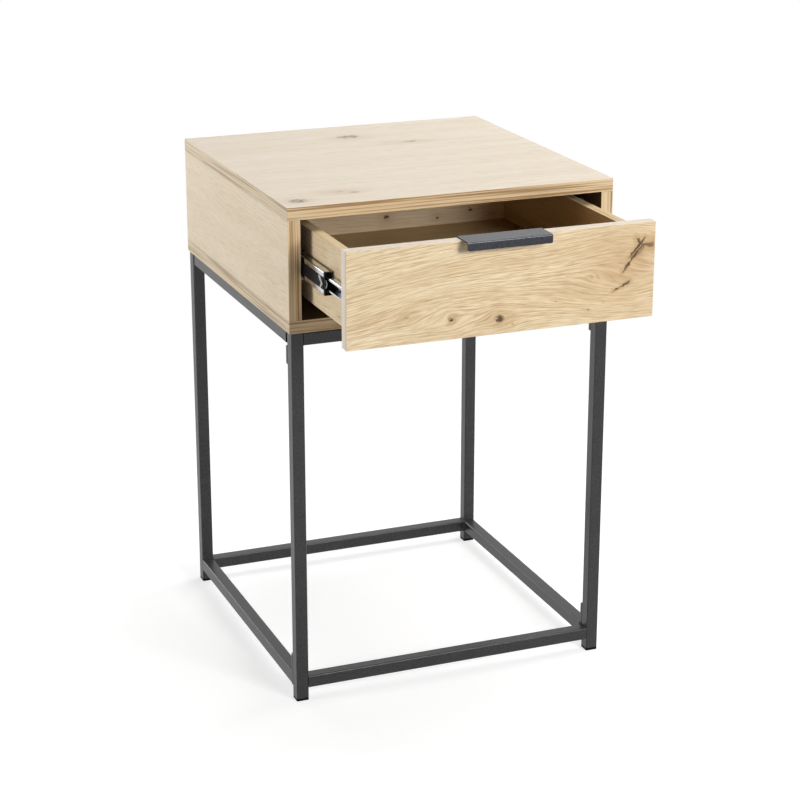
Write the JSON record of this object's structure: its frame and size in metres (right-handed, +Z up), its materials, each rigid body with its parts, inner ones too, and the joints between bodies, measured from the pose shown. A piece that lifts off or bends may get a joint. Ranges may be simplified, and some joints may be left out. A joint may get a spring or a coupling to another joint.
{
  "type": "side table with drawer",
  "caption": "Square side table: an oak-faced box with an inset drawer on ball-bearing runners and a bent edge pull, carried by an open frame of black square tube.",
  "frame": {"origin": "on the floor, in the middle of the whole outline at rest, with the drawer standing 138 mm open", "axes": "+Z up, the drawer opens towards -Y, +X is the right side seen from the front"},
  "size_m": [0.4, 0.553, 0.6],
  "materials": {
    "oak_board": "matt oak-grain foil on chipboard",
    "thin_back_board": "matt thin fibreboard",
    "thin_drawer_base": "matt thin fibreboard",
    "beech_dowel": "plain turned beech",
    "black_powder_coat": "fine matt powder coat",
    "anthracite_handle": "matt powder coat",
    "black_plastic": "matt moulded",
    "black_fastener": "black oxide",
    "zinc_plated_runner": "bright zinc plate",
    "zinc_plated_fastener": "bright zinc plate",
    "zinc_alloy_fitting": "cast zinc alloy",
    "cage_steel": "pressed steel strip",
    "bearing_steel": "polished"
  },
  "bodies": {
    "table": {"top_panel": "oak_board", "bottom_panel": "oak_board", "left_side_panel": "oak_board", "right_side_panel": "oak_board", "back_panel": "thin_back_board", "carcass_dowels": "beech_dowel", "carcass_cam_locks": "zinc_alloy_fitting", "carcass_cam_bolts": "zinc_plated_fastener", "front_left_leg": "black_powder_coat", "front_right_leg": "black_powder_coat", "rear_left_leg": "black_powder_coat", "rear_right_leg": "black_powder_coat", "front_top_rail": "black_powder_coat", "front_stretcher": "black_powder_coat", "rear_top_rail": "black_powder_coat", "rear_stretcher": "black_powder_coat", "left_top_rail": "black_powder_coat", "left_stretcher": "black_powder_coat", "right_top_rail": "black_powder_coat", "right_stretcher": "black_powder_coat", "rail_end_plates": "black_powder_coat", "frame_bolts": "black_fastener", "frame_rivet_nuts": "zinc_plated_fastener", "carcass_screws": "black_fastener", "front_left_foot": "black_plastic", "front_right_foot": "black_plastic", "rear_left_foot": "black_plastic", "rear_right_foot": "black_plastic", "left_runner_outer_member": "zinc_plated_runner", "right_runner_outer_member": "zinc_plated_runner", "runner_cabinet_screws": "zinc_plated_fastener"},
    "drawer": {"drawer_front": "oak_board", "drawer_left_side": "oak_board", "drawer_right_side": "oak_board", "drawer_back": "oak_board", "drawer_base": "thin_drawer_base", "drawer_dowels": "beech_dowel", "drawer_cam_locks": "zinc_alloy_fitting", "drawer_cam_bolts": "zinc_plated_fastener", "drawer_back_screws": "zinc_plated_fastener", "drawer_handle": "anthracite_handle", "handle_screws": "zinc_plated_fastener", "left_runner_drawer_member": "zinc_plated_runner", "right_runner_drawer_member": "zinc_plated_runner", "runner_drawer_screws": "zinc_plated_fastener"},
    "left_middle_slide": {"left_runner_middle_member": "zinc_plated_runner", "left_runner_bumper": "black_plastic"},
    "left_outer_ball_cage": {"left_runner_outer_cage": "cage_steel", "left_runner_outer_balls": "bearing_steel"},
    "left_inner_ball_cage": {"left_runner_inner_cage": "cage_steel", "left_runner_inner_balls": "bearing_steel"},
    "left_release_lever": {"left_release_lever": "black_plastic"},
    "right_middle_slide": {"right_runner_middle_member": "zinc_plated_runner", "right_runner_bumper": "black_plastic"},
    "right_outer_ball_cage": {"right_runner_outer_cage": "cage_steel", "right_runner_outer_balls": "bearing_steel"},
    "right_inner_ball_cage": {"right_runner_inner_cage": "cage_steel", "right_runner_inner_balls": "bearing_steel"},
    "right_release_lever": {"right_release_lever": "black_plastic"}
  },
  "joints": [
    {"name": "drawer_slide", "type": "slide", "parent": "table", "child": "drawer", "axis": [0, -1, 0], "range_m": [-0.138, 0.212]},
    {"name": "left_middle_slide_travel", "type": "slide", "parent": "table", "child": "left_middle_slide", "axis": [0, -1, 0], "range_m": [-0.08842, 0.13578]},
    {"name": "left_outer_ball_cage_travel", "type": "slide", "parent": "table", "child": "left_outer_ball_cage", "axis": [0, -1, 0], "range_m": [-0.04426, 0.06794]},
    {"name": "left_inner_ball_cage_travel", "type": "slide", "parent": "table", "child": "left_inner_ball_cage", "axis": [0, -1, 0], "range_m": [-0.11326, 0.17394]},
    {"name": "left_lever_pivot", "type": "hinge", "parent": "drawer", "child": "left_release_lever", "pos_m": [-0.1756, 0.005, 0.53], "axis": [1, 0, 0], "range_deg": [0, 6], "stiffness_Nm_per_rad": 0.02},
    {"name": "right_middle_slide_travel", "type": "slide", "parent": "table", "child": "right_middle_slide", "axis": [0, -1, 0], "range_m": [-0.08842, 0.13578]},
    {"name": "right_outer_ball_cage_travel", "type": "slide", "parent": "table", "child": "right_outer_ball_cage", "axis": [0, -1, 0], "range_m": [-0.04426, 0.06794]},
    {"name": "right_inner_ball_cage_travel", "type": "slide", "parent": "table", "child": "right_inner_ball_cage", "axis": [0, -1, 0], "range_m": [-0.11326, 0.17394]},
    {"name": "right_lever_pivot", "type": "hinge", "parent": "drawer", "child": "right_release_lever", "pos_m": [0.1756, 0.005, 0.53], "axis": [-1, 0, 0], "range_deg": [0, 6], "stiffness_Nm_per_rad": 0.02}
  ],
  "couplings": [
    {"joint": "left_middle_slide_travel", "follows": "drawer_slide", "ratio": 0.64},
    {"joint": "left_outer_ball_cage_travel", "follows": "drawer_slide", "ratio": 0.32},
    {"joint": "left_inner_ball_cage_travel", "follows": "drawer_slide", "ratio": 0.82},
    {"joint": "right_middle_slide_travel", "follows": "drawer_slide", "ratio": 0.64},
    {"joint": "right_outer_ball_cage_travel", "follows": "drawer_slide", "ratio": 0.32},
    {"joint": "right_inner_ball_cage_travel", "follows": "drawer_slide", "ratio": 0.82}
  ]
}
